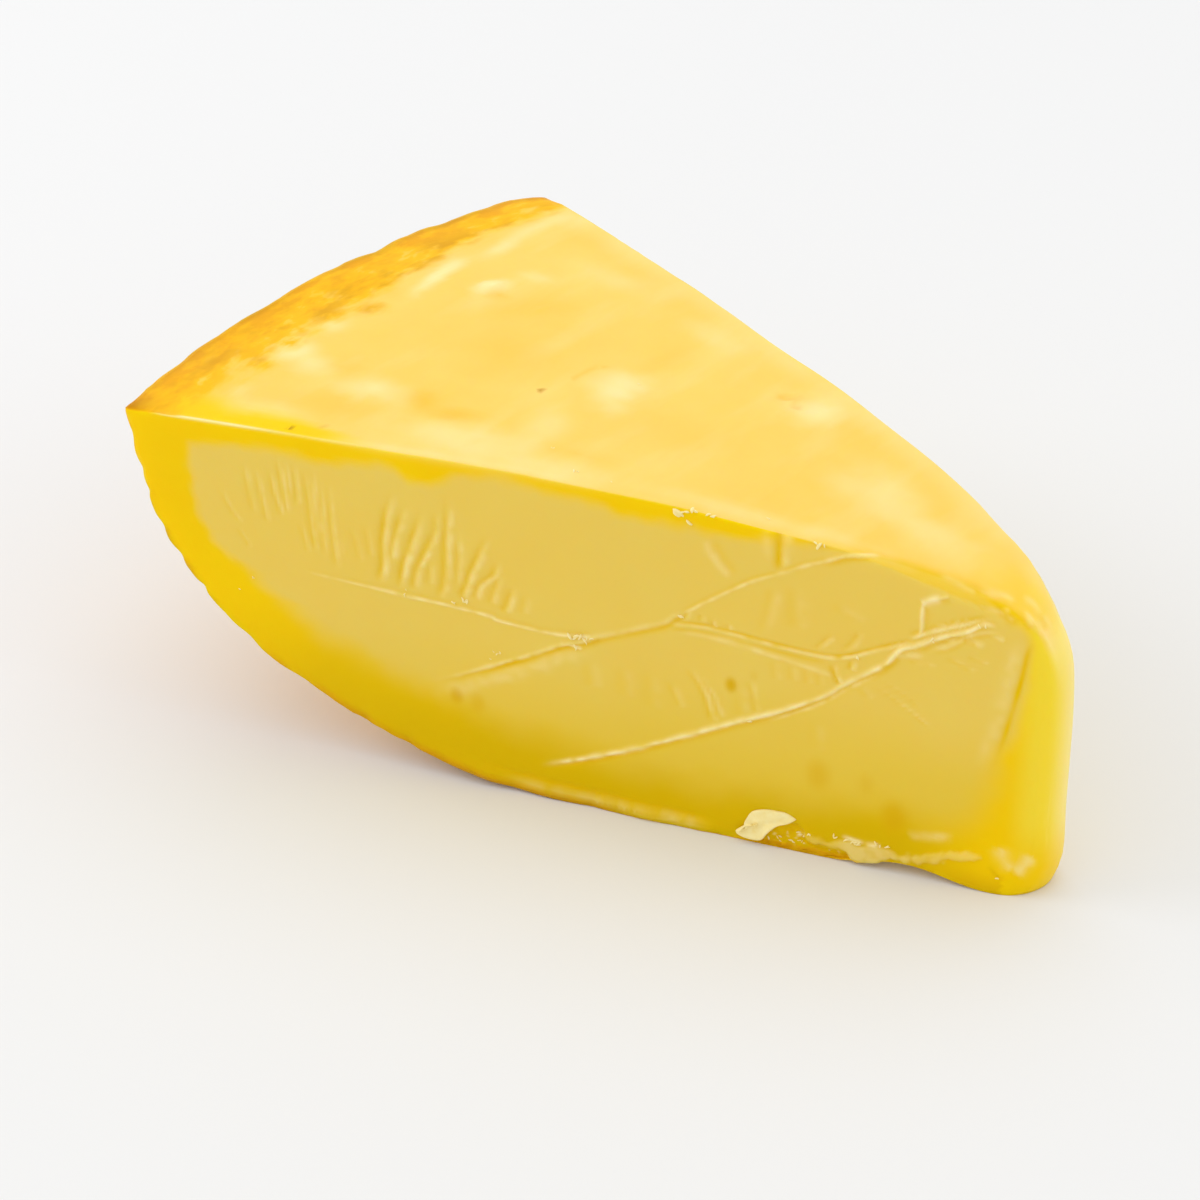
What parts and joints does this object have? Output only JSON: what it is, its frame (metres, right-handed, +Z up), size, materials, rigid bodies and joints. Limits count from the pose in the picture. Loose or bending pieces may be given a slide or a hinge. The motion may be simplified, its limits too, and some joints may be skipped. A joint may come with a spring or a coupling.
{
  "type": "cheese wedge",
  "caption": "Wedge of smoked semi-hard cheese with a flat top, round-bottomed rind side, two flat cut faces and a blunt tip, resting on its base.",
  "frame": {"origin": "middle of the underside of the wedge's bounding box, on the surface it rests on", "axes": "+X from the rind to the tip, +Z up; the cut face that lies towards -Y is the front one"},
  "size_m": [0.1248, 0.0836, 0.0474],
  "materials": {
    "cheese": "pale yellow paste, waxy half-gloss, with a golden to brown smoked rind"
  },
  "bodies": {
    "root": {"cheese_wedge": "cheese"}
  },
  "joints": []
}
